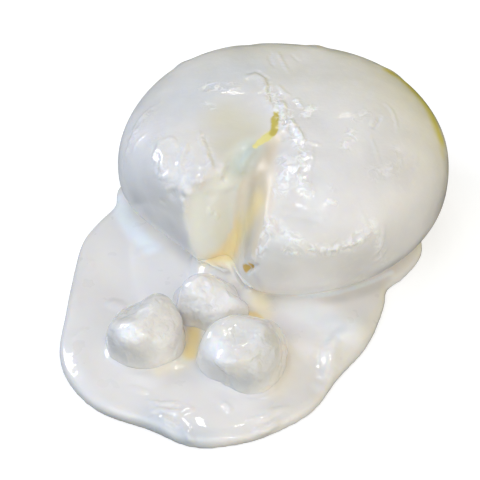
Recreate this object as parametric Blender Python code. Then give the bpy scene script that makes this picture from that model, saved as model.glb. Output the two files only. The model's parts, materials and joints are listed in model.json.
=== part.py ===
"""A soft stuffed mozzarella, cut open, in the pool of cream that has run out of it, with three nuggets of curd.

It stands on the plane z = 0. The bare numbers in the tables below are millimetres, measured from the pouch's
upright axis, with -Y to the front, where the cream has run.
"""

import math

import bmesh
import bpy
from mathutils import Vector, noise

MM = 0.001

# Where the pouch's axis stands, so that the origin is under the middle of the whole object's box.
POUCH_AXIS = Vector((9.94, 33.03, 0)) * MM

# Pieces that touch keep this gap.
FIT_GAP = 0.35 * MM

# The pouch is a sagging ball of stretched curd. Its widest level is the belly.
BELLY_HALF_WIDTH = 75
BELLY_HALF_DEPTH = 72
BELLY_HEIGHT = 30
CROWN_RISE = 42
CROWN_FULLNESS = 2.8
BASE_DROP = 32
BASE_FULLNESS = 2.2
POUCH_CUTS = 22

# A pull is a place on the skin, how far round it the pull reaches, and how far it moves the skin there.
LOBE_DRAWN_IN = ((-52, -46, 18), 58, (5.5, 8, 2))
SAG_BESIDE_THE_CRACK = ((-22, -22, 71), 30, (1, 0, -4))
SWELL_OF_LEFT_LOBE = ((-46, -36, 62), 30, (-1.5, -1.5, 2))
SAG_BEHIND_THE_CROWN = ((6, 28, 69), 26, (0, 0, -1.5))
SWELL_OF_RIGHT_LOBE = ((38, -6, 70), 34, (0, 0, 1.5))
CREASE_NEAR_THE_CUT = ((6, -60, 59), 17, (0, 2.5, -1.5))
CREASE_FAR_FROM_CUT = ((27, -60, 54), 16, (0, 1.5, -1))
SHOULDER_NEAR_THE_CUT = ((4, -70, 46), 18, (0, -2, 1.5))
SHOULDER_FAR_FROM_CUT = ((32, -63, 45), 20, (0, -1.5, 1))
BELLY_AT_THE_RIGHT = ((74, 12, 34), 62, (1.6, 0, 0))
BACK_AT_THE_RIGHT = ((46, 50, 46), 50, (1, 0.8, 1))
BACK_AT_THE_LEFT = ((-34, 54, 50), 56, (-1, 0.8, 1.4))
POUCH_PULLS = (
    LOBE_DRAWN_IN,
    SAG_BESIDE_THE_CRACK,
    SWELL_OF_LEFT_LOBE,
    SAG_BEHIND_THE_CROWN,
    SWELL_OF_RIGHT_LOBE,
    CREASE_NEAR_THE_CUT,
    CREASE_FAR_FROM_CUT,
    SHOULDER_NEAR_THE_CUT,
    SHOULDER_FAR_FROM_CUT,
    BELLY_AT_THE_RIGHT,
    BACK_AT_THE_RIGHT,
    BACK_AT_THE_LEFT,
)

# The cut runs from a crack at the crown down to the front. Each row is one station down it:
# the left rim, the bottom of the valley and the right rim.
CUT_STATIONS = (
    ((-4.5, -9, 72), (-4, -9.5, 70), (-3.3, -9, 72)),
    ((-5.8, -18.5, 71.5), (-4.5, -20, 62), (-2.6, -18.5, 71.5)),
    ((-8.5, -26, 71), (-7, -27, 59), (-2.6, -26, 71)),
    ((-14, -31.5, 70), (-12, -31, 60), (-3.2, -32, 70.3)),
    ((-24, -37, 68), (-16, -33, 57), (-3.8, -40, 69)),
    ((-33, -44.5, 63), (-18, -34.5, 50.5), (-5, -49, 66)),
    ((-38.5, -48.5, 57.5), (-19.3, -35.5, 41.5), (-7, -58.5, 61)),
    ((-41.5, -51, 50), (-20, -37, 31), (-9.5, -66, 53.5)),
    ((-40.5, -52.5, 41), (-21.5, -37, 20.5), (-11.5, -69.5, 45)),
    ((-38.5, -51, 28), (-24.5, -38, 12), (-13, -70, 35)),
    ((-37, -46, 15), (-26.5, -39, 4), (-12, -66.5, 21)),
    ((-36, -43, 3), (-26, -40, -6), (-10, -61, 6)),
    ((-37, -45, -10), (-26, -41, -18), (-10, -64, -10)),
)
SECTIONS_PER_STATION = 2
WALL_BULGE = 0.07
WALL_OVERRUN = 0.5
RIM_CLEARANCE = 1.5

# The pool of cream: the middle and rim of its plan, its thickness, and how square its rim stands.
POOL_CENTRE = (-22, -58)
POOL_RIM = (
    (-77.5, 22), (-78.5, 8), (-85, -3), (-91.8, -17.5), (-94.2, -38), (-95.5, -66), (-96, -87), (-90.5, -103.5),
    (-77, -119), (-56, -128.5), (-36, -138), (-12, -133.5), (10, -120), (22.5, -100.5), (36, -82), (44.5, -60),
    (47, -48), (55, -40), (65, -24), (62, -9), (40, -6), (0, -2), (-38, 10), (-64, 26),
)
POOL_THICKNESS = 7.6
POOL_FULLNESS = 5
POOL_SEGMENTS = 88
POOL_RINGS = 30
CREAM_IN_THE_CUT = ((-27, -43, 8), 20, (0, 3, 7))
FOLD_NEAR_THE_RIGHT = ((18, -92, 7), 14, (0, 0, 2))
FOLD_AT_THE_RIGHT = ((28, -78, 7), 14, (0, 0, 2))
SWELL_AT_THE_FRONT = ((-46, -122, 7), 26, (0, 0, 1))
DIP_AT_THE_LEFT = ((-68, -40, 7), 34, (0, 0, -1.5))
POOL_PULLS = (
    CREAM_IN_THE_CUT,
    FOLD_NEAR_THE_RIGHT,
    FOLD_AT_THE_RIGHT,
    SWELL_AT_THE_FRONT,
    DIP_AT_THE_LEFT,
)

# The nuggets: the middle's place, the half sizes, how square they are, where their lumps start and their pulls.
SLOPE_AT_THE_BACK_LEFT = ((-71, -74, 22), 19, (3, -2, -3.2))
LEFT_TOE = ((-75, -90, 9), 15, (-1.5, 0, 0))
LEFT_NUGGET_PULLS = (SLOPE_AT_THE_BACK_LEFT, LEFT_TOE)
SLOPE_AT_THE_BACK_RIGHT = ((-19, -59, 19), 18, (-2.5, -2, -3.4))
PEAK_AT_THE_LEFT = ((-37, -65, 23), 14, (-1, -0.5, 2.8))
MIDDLE_NUGGET_PULLS = (SLOPE_AT_THE_BACK_RIGHT, PEAK_AT_THE_LEFT)
CUT_BACK_AT_THE_FRONT_LEFT = ((-31, -109, 9), 17, (2.6, 2.6, 0))
RIGHT_NUGGET_PULLS = (CUT_BACK_AT_THE_FRONT_LEFT,)
NUGGETS = {
    "nugget_left": {
        "middle": (-58.5, -84.8, 13),
        "half": (17.2, 16.2, 14),
        "fullness": 2.3,
        "lumps": 3,
        "pulls": LEFT_NUGGET_PULLS,
    },
    "nugget_middle": {
        "middle": (-31.6, -66, 10.8),
        "half": (16.4, 14.2, 11.8),
        "fullness": 2.2,
        "lumps": 8,
        "pulls": MIDDLE_NUGGET_PULLS,
    },
    "nugget_right": {
        "middle": (-18, -98.5, 13.3),
        "half": (18.6, 17.2, 13.8),
        "fullness": 2.6,
        "lumps": 5,
        "pulls": RIGHT_NUGGET_PULLS,
    },
}
NUGGET_CUTS = 6
LUMP_HEIGHT = 3
LUMP_SCALE = 1.4

# Finishes: colour, roughness.
CURD_WHITE = ((0.72, 0.70, 0.66), 0.28)
CREAM_WHITE = ((0.78, 0.75, 0.69), 0.18)
NUGGET_WHITE = ((0.70, 0.69, 0.66), 0.3)


def clear_scene():
    for thing in list(bpy.data.objects):
        bpy.data.objects.remove(thing, do_unlink=True)
    for group in list(bpy.data.collections):
        bpy.data.collections.remove(group)


def make_collection(name):
    group = bpy.data.collections.new(name)
    bpy.context.scene.collection.children.link(group)
    return group


def make_finish(name, finish):
    colour, roughness = finish
    material = bpy.data.materials.new(name)
    material.use_nodes = True
    shader = material.node_tree.nodes["Principled BSDF"]
    shader.inputs["Base Color"].default_value = (*colour, 1)
    shader.inputs["Roughness"].default_value = roughness
    shader.inputs["Metallic"].default_value = 0
    return material


def make_object(name, cage, group):
    """An object of the collection from a bmesh in millimetres, with its faces turned out."""
    bmesh.ops.recalc_face_normals(cage, faces=cage.faces)
    for corner in cage.verts:
        corner.co *= MM
    mesh = bpy.data.meshes.new(name)
    cage.to_mesh(mesh)
    cage.free()
    thing = bpy.data.objects.new(name, mesh)
    group.objects.link(thing)
    return thing


def pulled(point, pulls):
    """The point moved by each pull in turn, most at the pull's place and not at all past its reach."""
    for place, reach, move in pulls:
        nearness = 1 - (point - Vector(place)).length / reach
        if nearness > 0:
            point = point + Vector(move) * (3 - 2 * nearness) * nearness ** 2
    return point


def swollen(unit, half, fullness):
    """The unit sphere's point on a ball of the given half sizes, squarer as the fullness grows past 2."""
    across = math.hypot(unit.x, unit.y)
    reach = (across ** fullness + abs(unit.z) ** fullness) ** (-1 / fullness)
    return Vector((unit.x * half[0], unit.y * half[1], unit.z * half[2])) * reach


def pouch_point(unit):
    rise, fullness = (CROWN_RISE, CROWN_FULLNESS) if unit.z > 0 else (BASE_DROP, BASE_FULLNESS)
    point = swollen(unit, (BELLY_HALF_WIDTH, BELLY_HALF_DEPTH, rise), fullness)
    point.z += BELLY_HEIGHT
    point = pulled(point, POUCH_PULLS)
    point.z = max(point.z, 0)
    return point


def nugget_point(unit, nugget):
    point = Vector(nugget["middle"]) + swollen(unit, nugget["half"], nugget["fullness"])
    point += unit * LUMP_HEIGHT * noise.noise(unit * LUMP_SCALE + Vector((nugget["lumps"], 0, 0)))
    point = pulled(point, nugget["pulls"])
    point.z = max(point.z, 0)
    return point


def between(a, b, c, d, share):
    """The place a share of the way from b to c on the smooth curve that passes a, b, c and d."""
    slope = c - a
    bend = 2 * a - 5 * b + 4 * c - d
    twist = 3 * b - 3 * c + d - a
    return (2 * b + slope * share + bend * share ** 2 + twist * share ** 3) / 2


def on_loop(places, share):
    """The place a share of the way round the closed smooth curve through the places."""
    whole, part = divmod(share % 1 * len(places), 1)
    four = [Vector(places[(int(whole) + k) % len(places)]) for k in (-1, 0, 1, 2)]
    return between(*four, part)


def on_line(places, station):
    """The place at a station, such as 2.5, of the open smooth curve through the places."""
    whole = min(int(station), len(places) - 2)
    four = [Vector(places[min(max(whole + k, 0), len(places) - 1)]) for k in (-1, 0, 1, 2)]
    return between(*four, station - whole)


def pool_point(unit):
    """The place on the pool's top of a point of the unit sphere's upper half, whose equator is the rim."""
    across = math.hypot(unit.x, unit.y)
    centre = Vector(POOL_CENTRE)
    rim = on_loop(POOL_RIM, math.atan2(unit.y, unit.x) / math.tau)
    place = centre + (rim - centre) * across ** (2 / POOL_FULLNESS)
    point = Vector((*place, POOL_THICKNESS * max(unit.z, 0) ** (2 / POOL_FULLNESS)))
    if point.z > 0:
        point = pulled(point, POOL_PULLS)
    return point


def make_ball(name, cuts, place, group):
    """A ball of even squares, from a finely cut cube, with each point put where the place function says."""
    cage = bmesh.new()
    bmesh.ops.create_cube(cage, size=2)
    bmesh.ops.subdivide_edges(cage, edges=cage.edges, cuts=cuts, use_grid_fill=True)
    for corner in cage.verts:
        corner.co = place(corner.co.normalized())
    return make_object(name, cage, group)


def make_pool(name, group):
    cage = bmesh.new()
    bmesh.ops.create_uvsphere(cage, u_segments=POOL_SEGMENTS, v_segments=POOL_RINGS, radius=1)
    underside = [face for face in cage.faces if face.calc_center_median().z < 0]
    bmesh.ops.dissolve_faces(cage, faces=underside, use_verts=True)
    for corner in cage.verts:
        corner.co = pool_point(corner.co.copy())
    return make_object(name, cage, group)


def cut_section(station):
    """One section of the cut: down the left wall to the valley, up the right wall, and closed outside the skin."""
    left, valley, right = (on_line([row[side] for row in CUT_STATIONS], station) for side in range(3))
    across = right - left
    left_out = left + (left - valley) * WALL_OVERRUN + (left - valley).normalized() * RIM_CLEARANCE
    right_out = right + (right - valley) * WALL_OVERRUN + (right - valley).normalized() * RIM_CLEARANCE
    left_wall = (left + valley) / 2 + across * WALL_BULGE
    right_wall = (right + valley) / 2 - across * WALL_BULGE
    return (left_out, left, left_wall, valley, right_wall, right, right_out)


def make_cut(group):
    """The wedge that the cut takes out of the pouch, lofted through its sections."""
    cage = bmesh.new()
    count = (len(CUT_STATIONS) - 1) * SECTIONS_PER_STATION
    loops = []
    for index in range(count + 1):
        loops.append([cage.verts.new(place) for place in cut_section(index / SECTIONS_PER_STATION)])
    cage.faces.new(loops[0])
    cage.faces.new(loops[-1])
    for upper, lower in zip(loops, loops[1:]):
        for here in range(len(upper)):
            after = (here + 1) % len(upper)
            cage.faces.new((upper[here], upper[after], lower[after], lower[here]))
    bmesh.ops.triangulate(cage, faces=cage.faces)
    return make_object("cut", cage, group)


def make_grown(thing, group):
    """A copy of the object with its modifiers applied and its skin moved out by the fit gap."""
    evaluated = thing.evaluated_get(bpy.context.evaluated_depsgraph_get())
    cage = bmesh.new()
    cage.from_mesh(evaluated.to_mesh())
    cage.normal_update()
    moved = [corner.co + corner.normal * FIT_GAP * corner.calc_shell_factor() for corner in cage.verts]
    for corner, place in zip(cage.verts, moved):
        corner.co = place / MM
    return make_object(thing.name + "_grown", cage, group)


def take_away(thing, cutter):
    cutter.hide_render = True
    cutter.display_type = "WIRE"
    modifier = thing.modifiers.new(cutter.name, "BOOLEAN")
    modifier.operation = "DIFFERENCE"
    modifier.solver = "EXACT"
    modifier.object = cutter


def main():
    clear_scene()
    parts = make_collection("mozzarella")
    cutters = make_collection("cutters")
    stand = bpy.data.objects.new("stand", None)
    parts.objects.link(stand)
    stand.location = POUCH_AXIS

    pouch = make_ball("pouch", POUCH_CUTS, pouch_point, parts)
    take_away(pouch, make_cut(cutters))
    nuggets = []
    for name, nugget in NUGGETS.items():
        nuggets.append(make_ball(name, NUGGET_CUTS, lambda unit, nugget=nugget: nugget_point(unit, nugget), parts))
    cream = make_pool("cream", parts)
    for neighbour in (pouch, *nuggets):
        take_away(cream, make_grown(neighbour, cutters))

    pouch.data.materials.append(make_finish("stretched curd", CURD_WHITE))
    cream.data.materials.append(make_finish("cream", CREAM_WHITE))
    for nugget in nuggets:
        nugget.data.materials.append(make_finish(nugget.name + " curd", NUGGET_WHITE))
    for thing in (*parts.objects, *cutters.objects):
        if thing is not stand:
            thing.parent = stand


if __name__ == "__main__":
    main()
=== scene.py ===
"""The looks of an opened stuffed mozzarella: a pouch of stretched curd with a cut down its front, the cream
that has run out of it, and three nuggets of curd lying in the cream.

Bare numbers in the tables are millimetres. A route is a list of places, each either a pixel (across, down)
of the 480-pixel view from the camera, laid on the surface that the camera sees there, or, where the table
says so, a bearing in degrees round the pouch and a height above the table.
"""

import json
import math
from collections import namedtuple

import bmesh
import bpy
import numpy as np
from bpy.props import FloatProperty, FloatVectorProperty, PointerProperty
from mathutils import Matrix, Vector
from mathutils.bvhtree import BVHTree
from mathutils.kdtree import KDTree

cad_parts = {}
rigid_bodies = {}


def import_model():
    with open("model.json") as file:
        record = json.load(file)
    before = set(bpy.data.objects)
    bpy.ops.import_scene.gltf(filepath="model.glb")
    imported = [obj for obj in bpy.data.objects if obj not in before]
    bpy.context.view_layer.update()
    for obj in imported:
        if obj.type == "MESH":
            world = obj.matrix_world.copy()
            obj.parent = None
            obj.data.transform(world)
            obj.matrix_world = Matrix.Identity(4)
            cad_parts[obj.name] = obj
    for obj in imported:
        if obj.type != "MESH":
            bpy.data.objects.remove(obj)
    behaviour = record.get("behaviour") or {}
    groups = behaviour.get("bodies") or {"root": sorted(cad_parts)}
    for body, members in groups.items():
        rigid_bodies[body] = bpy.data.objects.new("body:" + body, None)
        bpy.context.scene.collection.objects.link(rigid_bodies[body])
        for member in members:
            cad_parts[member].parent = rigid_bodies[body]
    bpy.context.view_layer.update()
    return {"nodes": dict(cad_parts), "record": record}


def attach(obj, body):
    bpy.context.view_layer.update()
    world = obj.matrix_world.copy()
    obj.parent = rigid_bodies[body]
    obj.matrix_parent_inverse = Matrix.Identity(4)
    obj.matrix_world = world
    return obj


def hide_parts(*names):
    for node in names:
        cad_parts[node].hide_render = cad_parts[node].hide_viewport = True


bl_info = {
    "name": "Opened Stuffed Mozzarella",
    "version": (1, 0, 0),
    "blender": (4, 5, 0),
    "location": "3D View > Sidebar > Mozzarella",
    "description": "Dresses the packed mozzarella in wet curd and cream, and sets its stage",
    "category": "Object",
}

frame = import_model()
MM = 0.001
POUCH_AXIS = Vector(frame["record"]["mounts"][0]["pos_m"])

# the view: a level camera that looks down on the pouch
VIEW_SIDE = 480
VIEW_SCALE = 0.46 * MM
AIM_FROM_AXIS = Vector((-18.9, -20.7, 7.0)) * MM
FILM_WIDTH = 36.0

Fold = namedtuple("Fold", "route width lift fall", defaults=("SMOOTH",))
Tinting = namedtuple("Tinting", "tint route reach strength", defaults=(1.0,))
Melt = namedtuple("Melt", "route reach passes")
Patch = namedtuple("Patch", "route reach strength")
Glow = namedtuple("Glow", "elevation bearing colour")
Lamp = namedtuple("Lamp", "elevation bearing size power colour", defaults=((1.0, 1.0, 1.0),))

# how finely the pieces are merged, cut, laid out, weighted and thinned
MERGE_DISTANCE = 0.002 * MM
ABOVE_TABLE = 0.5 * MM
OUTSIDE_POUCH = 0.2
PLACE_STEP = 3
WEIGHT_LEVELS = 20
MOST_TRIANGLES = 190_000

# a tinting, whether a stain or painted shade and light, keeps to what faces as its route does: the cosine
# where it starts, and how softly it does
LEAST_FACING = 0.1
FACING_EASE = 0.5

# the sizes of the creases and lumps that roughen the curd, and of the floor
CREASE_SIZE = 5 * MM
LUMP_SIZE = 9 * MM
FLOOR_SIZE = 4.0
FLOOR_DROP = 0.1 * MM

# folds of the left lobe
LEFT_LOBE_FOLDS = {
    "broad_swell": Fold(((159, 146), (160, 162), (163, 178)), 11, 0.9),
    "hollow_beside_swell": Fold(((175, 150), (174, 162), (176, 172)), 5, -0.45),
    "ridge_on_swell": Fold(((161, 142), (160, 150), (165, 158), (163, 166), (167, 173)), 2.4, 0.5),
    "groove_on_swell": Fold(((166, 160), (168, 167), (165, 174)), 1.8, -0.45),
    "loop_over_ridge": Fold(((164, 143), (168, 139), (173, 140), (176, 143), (174, 149)), 1.8, 0.4),
    "small_loop": Fold(((157, 152), (155, 158), (158, 163)), 2, 0.4),
    "hook_under_ridge": Fold(((156, 174), (162, 178), (169, 176), (174, 170), (177, 163)), 1.9, 0.45),
    "long_fold": Fold(((186, 144), (184, 152), (180, 160), (180, 168)), 2, 0.6),
    "long_fold_foot": Fold(((180, 168), (183, 176), (180, 184), (184, 192)), 2.2, 0.5),
    "groove_by_long_fold": Fold(((190, 150), (187, 158), (185, 166)), 2.4, -0.3),
    "fold_by_rim": Fold(((199, 133), (201, 140), (206, 148), (208, 157), (211, 165), (206, 175)), 1.9, 0.65),
    "groove_by_rim": Fold(((204, 143), (211, 155), (215, 165)), 2.2, -0.35),
    "lump_by_rim": Fold(((193, 182), (197, 180)), 3, 0.8),
    "lump_under_it": Fold(((185, 190), (188, 194)), 2.4, 0.7),
    "lump_edge": Fold(((200, 176), (203, 180), (199, 187)), 1.8, 0.5),
    "curl_by_rim": Fold(((181, 200), (184, 206), (183, 213)), 2, 0.5),
    "arch": Fold(((166, 196), (167, 190), (172, 187), (178, 188), (180, 194), (179, 200)), 1.7, 0.4),
    "under_arch": Fold(((172, 194), (175, 197)), 3.6, -0.35),
    "pit": Fold(((161, 201), (164, 203)), 1.8, -0.35),
    "outer_arc": Fold(((124, 166), (127, 150), (133, 135), (143, 121)), 1.4, 0.2),
    "middle_arc": Fold(((130, 142), (136, 125), (147, 111), (160, 103)), 1.4, 0.2),
    "inner_arc": Fold(((133, 152), (137, 142), (146, 134)), 1.4, 0.2),
}

# the crown: the scar behind the crack, its rumpled skin, and the marks of the fingers that tied it
CROWN_FOLDS = {
    "scar_edge": Fold(((250, 73), (256, 71), (262, 75), (267, 79), (269, 90), (271, 100)), 1.6, -0.5),
    "scar_plateau": Fold(((250, 77), (258, 76), (264, 82), (266, 92)), 3.4, 0.7),
    "scar_side": Fold(((266, 96), (268, 104), (272, 110)), 2.6, 0.6),
    "curl_1": Fold(((279, 99), (283, 106), (284, 114), (281, 122)), 2.2, 0.8),
    "curl_2": Fold(((279, 122), (281, 130), (279, 137)), 2.6, 0.9),
    "curl_notch": Fold(((286, 136), (283, 140)), 1.6, -0.8),
    "curl_tip": Fold(((274, 104), (276, 110)), 2, 0.5),
    "curl_pit": Fold(((284, 124), (287, 123)), 1.6, -0.7),
    "inverted_v_left": Fold(((291, 121), (287, 126), (285, 133)), 1.8, 0.7),
    "inverted_v_right": Fold(((291, 121), (297, 130), (304, 140)), 2, 0.8),
    "between_the_v": Fold(((291, 129), (293, 137)), 2.2, -0.5),
    "flow_1": Fold(((299, 143), (298, 154), (299, 165), (296, 175), (299, 185), (304, 192)), 1.7, 0.25),
    "flow_2": Fold(((303, 141), (306, 152), (304, 163), (305, 171)), 1.7, 0.2),
    "flow_3": Fold(((310, 145), (312, 154), (311, 164), (309, 171)), 1.6, 0.2),
    "flow_foot": Fold(((303, 179), (307, 185), (310, 193)), 2.4, 0.5),
    "flow_vein_1": Fold(((304, 141), (312, 143), (320, 145)), 1.4, 0.3),
    "flow_vein_2": Fold(((305, 152), (312, 157)), 1.4, 0.3),
    "flow_dip": Fold(((301, 147), (302, 160), (300, 172)), 1.4, -0.25),
    "bent_line": Fold(((287, 161), (288, 166), (285, 171)), 1.4, 0.35),
    "bent_line_end": Fold(((286, 174), (289, 178)), 1.4, 0.35),
    "glint_line": Fold(((278, 86), (284, 92), (290, 96)), 1.5, 0.4),
    "glint_hook": Fold(((297, 99), (300, 104), (300, 108)), 1.5, 0.35),
    "tie_mark_1": Fold(((271, 52), (270, 59), (274, 67)), 1.5, -0.3),
    "tie_mark_2": Fold(((278, 53), (282, 61), (288, 72)), 1.5, 0.35),
    "tie_mark_3": Fold(((292, 55), (299, 62)), 1.4, -0.2),
}

# folds of the right lobe and of its shoulder
RIGHT_LOBE_FOLDS = {
    "slit": Fold(((373, 128), (377, 122), (380, 117)), 1.5, -0.6),
    "slit_lip": Fold(((371, 126), (376, 119)), 1.6, 0.3),
    "long_line": Fold(((370, 132), (374, 145), (379, 159), (384, 169), (392, 176)), 1.3, 0.16),
    "outer_arc": Fold(((385, 103), (392, 111), (396, 122), (397, 132)), 1.4, 0.28),
    "far_arc": Fold(((418, 154), (415, 165), (408, 172)), 1.3, 0.18),
    "crease_upper": Fold(((278, 205), (290, 206), (304, 211), (316, 213)), 2.2, -0.18),
    "crease_lower": Fold(((276, 214), (290, 216), (306, 218), (318, 222)), 2.4, -0.25),
    "shoulder_ridge_1": Fold(((283, 236), (290, 240), (298, 241)), 2.6, 0.35),
    "shoulder_ridge_2": Fold(((315, 248), (323, 251), (331, 249)), 2.4, 0.45),
    "shoulder_ridge_3": Fold(((336, 250), (343, 246), (350, 245)), 2.4, 0.4),
    "shoulder_ridge_4": Fold(((357, 242), (363, 238), (368, 231)), 2.2, 0.4),
    "shoulder_notch_1": Fold(((311, 252), (308, 245)), 1.8, -0.3),
    "shoulder_notch_2": Fold(((332, 254), (333, 247)), 1.8, -0.3),
    "shoulder_notch_3": Fold(((354, 249), (353, 243)), 1.8, -0.3),
    "wrinkle_1": Fold(((361, 213), (366, 222), (370, 231), (373, 241)), 1.6, 0.3),
    "wrinkle_2": Fold(((384, 228), (383, 238), (379, 250), (372, 257)), 1.6, 0.4),
    "wrinkle_3": Fold(((378, 236), (376, 246)), 1.8, -0.3),
    "wrinkle_4": Fold(((388, 246), (382, 256), (372, 264)), 1.5, 0.25),
    "rim_bump": Fold(((268, 217), (269, 224), (272, 231)), 3.4, 0.9),
    "rim_dip": Fold(((279, 224), (283, 232)), 3.2, -0.4),
    "rim_lip": Fold(((264, 236), (262, 246), (260, 256)), 2.6, 0.25),
    "front_ripple_1": Fold(((287, 244), (292, 251), (297, 257)), 1.6, 0.3),
    "front_ripple_2": Fold(((300, 246), (304, 252)), 1.6, 0.3),
}

# the two faces of the cut, and the valley where they meet
CUT_FOLDS = {
    "green_fold": Fold(((255, 147), (248, 157), (243, 167), (239, 177)), 2.4, 0.8),
    "green_pocket": Fold(((236, 160), (231, 168), (227, 175)), 3.6, -0.8),
    "pocket_lip": Fold(((225, 164), (221, 170), (222, 178)), 2.2, 0.6),
    "small_slit": Fold(((222, 178), (226, 181)), 1.6, -0.8),
    "band_under_pocket": Fold(((239, 180), (232, 185), (222, 187)), 3.6, 0.6),
    "hollow_on_green": Fold(((214, 197), (208, 196)), 3.6, -0.5),
    "bump_on_green_1": Fold(((209, 209), (211, 213)), 2, 0.6),
    "bump_on_green_2": Fold(((215, 214), (218, 217)), 1.8, 0.5),
    "valley_slit": Fold(((237, 232), (236, 242), (233, 252)), 2.2, -0.4),
    "peach_lump_1": Fold(((247, 236), (245, 244)), 2.6, 0.3),
    "peach_lump_2": Fold(((250, 250), (246, 256)), 2.6, 0.6),
    "ragged_edge_1": Fold(((252, 257), (255, 262)), 1.8, 0.7),
    "pinhole": Fold(((245, 269), (250, 267), (255, 264)), 3.2, -2.8, "SHARP"),
}

# where the skin and the filling have run together: the valley of the cut and the tops of its rims
MELTS = {
    "valley": Melt(((266, 142), (254, 172), (242, 203), (236, 235), (232, 256)), 17, 150),
    "right_rim_top": Melt(((277, 144), (274, 170), (272, 194)), 9, 70),
    "left_rim_top": Melt(((246, 154), (228, 168), (205, 186)), 8, 30),
}

# patches of ruffled wet skin, whose facets catch the lamps and whose crests are painted white as glints
RUFFLES = (
    Patch(((276, 96), (283, 112), (291, 128), (299, 142)), 6.5, 0.8),
    Patch(((299, 142), (302, 156), (300, 172), (306, 192)), 5.5, 0.8),
    Patch(((266, 84), (270, 100)), 4, 0.8),
    Patch(((208, 87), (220, 88), (232, 87)), 7, 0.6),
    Patch(((204, 104), (213, 107)), 4, 0.5),
    Patch(((306, 114), (313, 108)), 5, 0.8),
    Patch(((296, 100), (301, 106)), 3, 0.6),
    Patch(((350, 132), (353, 138)), 5, 0.6),
    Patch(((345, 143), (346, 150)), 4, 0.6),
    Patch(((356, 119), (366, 113)), 5, 0.5),
    Patch(((374, 174), (384, 171), (393, 168)), 7, 0.4),
    Patch(((398, 150), (402, 160)), 5, 0.35),
    Patch(((330, 186), (334, 190)), 3, 0.4),
    Patch(((328, 200), (336, 204)), 2, 1),
    Patch(((284, 160), (286, 178), (279, 190)), 7, 0.6),
    Patch(((270, 220), (264, 238), (258, 254)), 5, 0.8),
    Patch(((282, 234), (300, 240)), 5, 0.7),
    Patch(((286, 250), (298, 254)), 4, 0.6),
    Patch(((312, 250), (332, 251)), 5, 0.7),
    Patch(((336, 249), (350, 246)), 5, 0.7),
    Patch(((354, 243), (368, 231)), 6, 0.7),
    Patch(((372, 224), (380, 246), (384, 262)), 6, 0.4),
    Patch(((154, 142), (157, 158), (161, 176)), 8, 0.4),
    Patch(((174, 142), (178, 166), (172, 194)), 7, 0.25),
    Patch(((186, 146), (186, 190), (184, 208)), 6, 0.3),
    Patch(((203, 138), (209, 160), (198, 184)), 6, 0.3),
    Patch(((124, 160), (133, 132), (150, 110)), 8, 0.35),
    Patch(((226, 176), (210, 205), (208, 235)), 12, 0.12),
    Patch(((254, 200), (248, 225), (246, 245)), 7, 0.15),
)

# cream heaped at the foot of the cut, by its middle from the pouch's axis and its half sizes
CREAM_HEAPS = {
    "in_the_cut": ((-27, -40, 6), (15, 20, 11)),
    "right_of_the_nugget": ((-15, -59, 4), (10, 9, 7)),
}

# the planes round the foot of the cut, where the cream climbs higher on the pouch
CUT_SIDES = (
    ((-40, 0, 0), (-1, 0, 0)),
    ((-13, 0, 0), (1, 0, 0)),
    ((0, -34, 0), (0, 1, 0)),
)

# folds of the spilled cream
CREAM_FOLDS = {
    "right_groove": Fold(((333, 330), (326, 338), (322, 350), (320, 363), (320, 376), (315, 390)), 5, -0.9),
    "right_ridge": Fold(((340, 336), (332, 345), (329, 357), (328, 370), (322, 384)), 5, 1.2),
    "right_swell": Fold(((352, 335), (344, 350), (336, 366)), 9, 0.8),
    "pane_ripple_1": Fold(((150, 402), (163, 405), (176, 404)), 2, 1),
    "pane_ripple_2": Fold(((152, 409), (166, 411), (180, 413)), 2, 1),
    "pane_ripple_3": Fold(((162, 417), (176, 424)), 2, 0.9),
    "pane_ripple_4": Fold(((183, 410), (190, 408)), 2.2, 0.5),
    "pane_ripple_5": Fold(((186, 431), (191, 440)), 2.4, 0.6),
    "dash": Fold(((131, 387), (139, 390), (147, 391)), 2.2, 0.5),
    "dash_by_nugget": Fold(((174, 366), (182, 364)), 2.2, 0.5),
    "dash_in_front": Fold(((224, 404), (230, 409)), 2.2, 0.5),
    "flow_1": Fold(((252, 421), (264, 418), (276, 411), (286, 408)), 2.2, 1),
    "flow_2": Fold(((256, 432), (266, 429), (278, 422)), 2.2, 0.9),
    "flow_3": Fold(((262, 413), (272, 407), (280, 400)), 2.4, 0.5),
    "rim_swell_1": Fold(((104, 402), (120, 412), (136, 416)), 5, 0.6),
    "rim_swell_2": Fold(((236, 440), (256, 436), (272, 428)), 4, 0.6),
    "left_ripple_1": Fold(((84, 262), (80, 280), (77, 300), (74, 320)), 4, 0.35),
    "left_ripple_2": Fold(((92, 262), (88, 272)), 3, 0.4),
    "left_ripple_3": Fold(((75, 340), (78, 356), (84, 370), (94, 384)), 4.4, 0.5),
    "left_ripple_4": Fold(((82, 330), (74, 338)), 2.6, 0.35, "SHARP"),
    "bump_by_nugget": Fold(((113, 304), (120, 306)), 4.4, 0.8),
    "bump_by_pouch": Fold(((143, 253), (151, 250)), 5, 0.6),
    "tail_dip": Fold(((172, 424), (176, 432)), 4, -0.6),
}

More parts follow.
